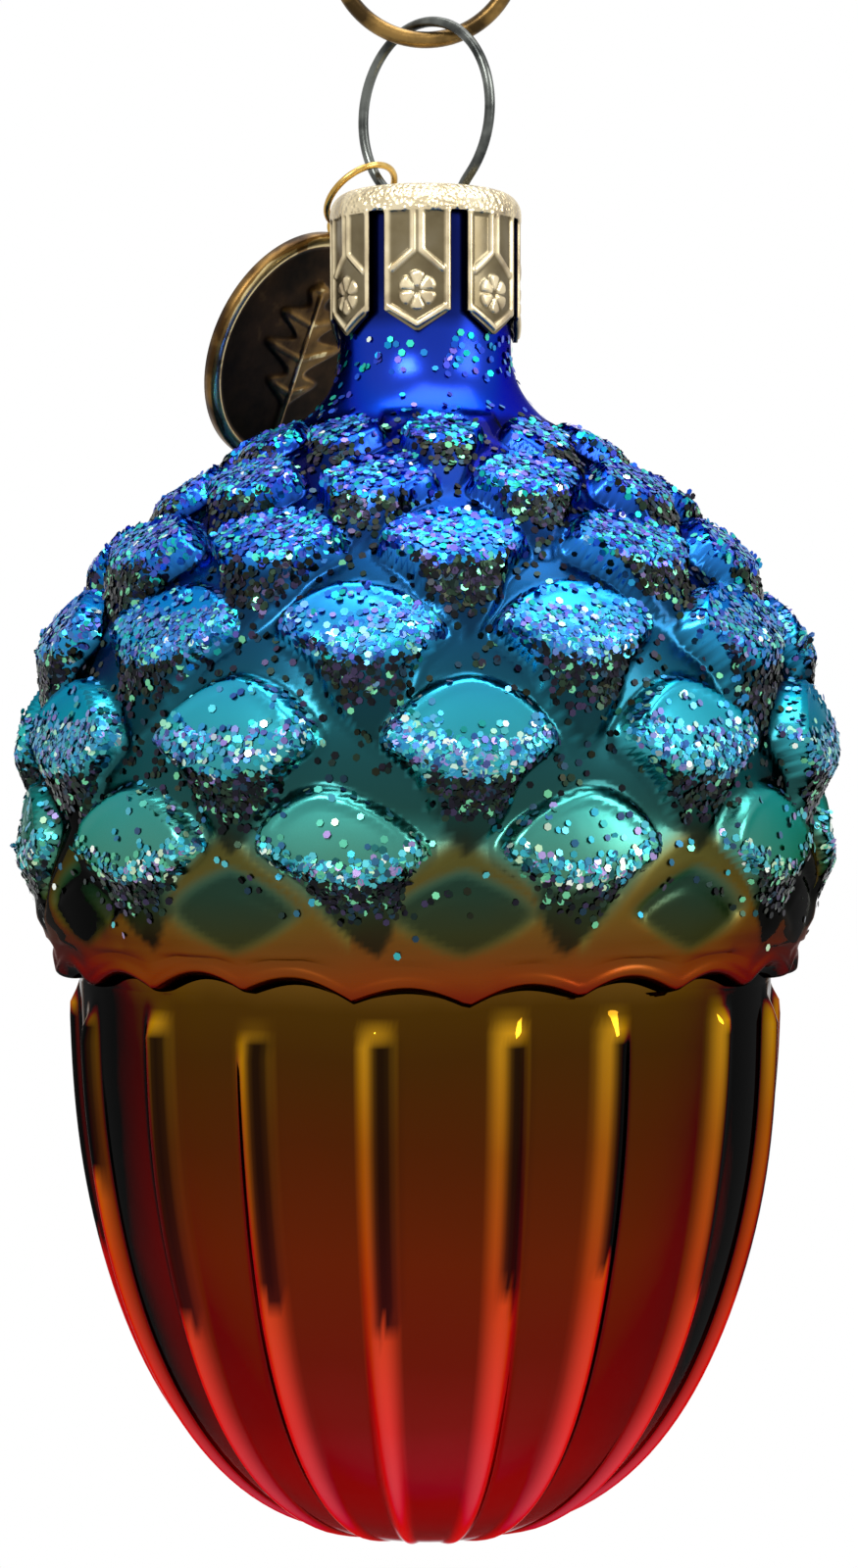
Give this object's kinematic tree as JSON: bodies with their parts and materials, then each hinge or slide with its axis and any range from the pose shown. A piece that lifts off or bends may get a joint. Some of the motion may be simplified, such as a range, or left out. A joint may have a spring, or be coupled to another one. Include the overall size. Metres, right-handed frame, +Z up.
{
  "type": "acorn ornament",
  "caption": "Hanging blown glass acorn with a scaled cup and a ribbed nut, a tined metal cap, a wire loop, a hook and a small round tag.",
  "frame": {"origin": "the place inside the hook's upper bend that rests on a branch", "axes": "+Z up, along the acorn's axis; -Y towards the acorn's front as pictured; +X to the right of that view"},
  "size_m": [0.0592, 0.0592, 0.1432],
  "materials": {
    "hook": "drawn brass wire, worn",
    "wire_hanger": "dark oiled spring wire",
    "crown_cap": "pressed and pale gold plated",
    "glass_shell": "silvered inside, lacquered and glittered outside",
    "jump_ring": "gold plated wire",
    "tag": "die struck, antique bronze"
  },
  "bodies": {
    "hook": {"hook": "hook"},
    "hanger": {"wire_hanger": "wire_hanger"},
    "cap": {"crown_cap": "crown_cap"},
    "glass": {"glass_shell": "glass_shell"},
    "ring": {"jump_ring": "jump_ring"},
    "tag": {"tag": "tag"}
  },
  "joints": [
    {"name": "hanger_swing", "type": "hinge", "parent": "hook", "child": "hanger", "pos_m": [0, 0, -0.0335], "axis": [1, 0, 0], "range_deg": [-45, 45]},
    {"name": "cap_slide", "type": "slide", "parent": "hanger", "child": "cap", "axis": [0, 0, -1], "range_m": [0, 0.005]},
    {"name": "glass_slide", "type": "slide", "parent": "cap", "child": "glass", "axis": [0, 0, -1], "range_m": [0, 0.026]},
    {"name": "ring_lift", "type": "hinge", "parent": "hanger", "child": "ring", "pos_m": [-0.00316, 0.00265, -0.04213], "axis": [0.6428, 0.766, 0], "range_deg": [0, 45]},
    {"name": "tag_swing", "type": "hinge", "parent": "ring", "child": "tag", "pos_m": [-0.00643, 0.0054, -0.04605], "axis": [0.6428, 0.766, 0], "range_deg": [0, 60]}
  ]
}
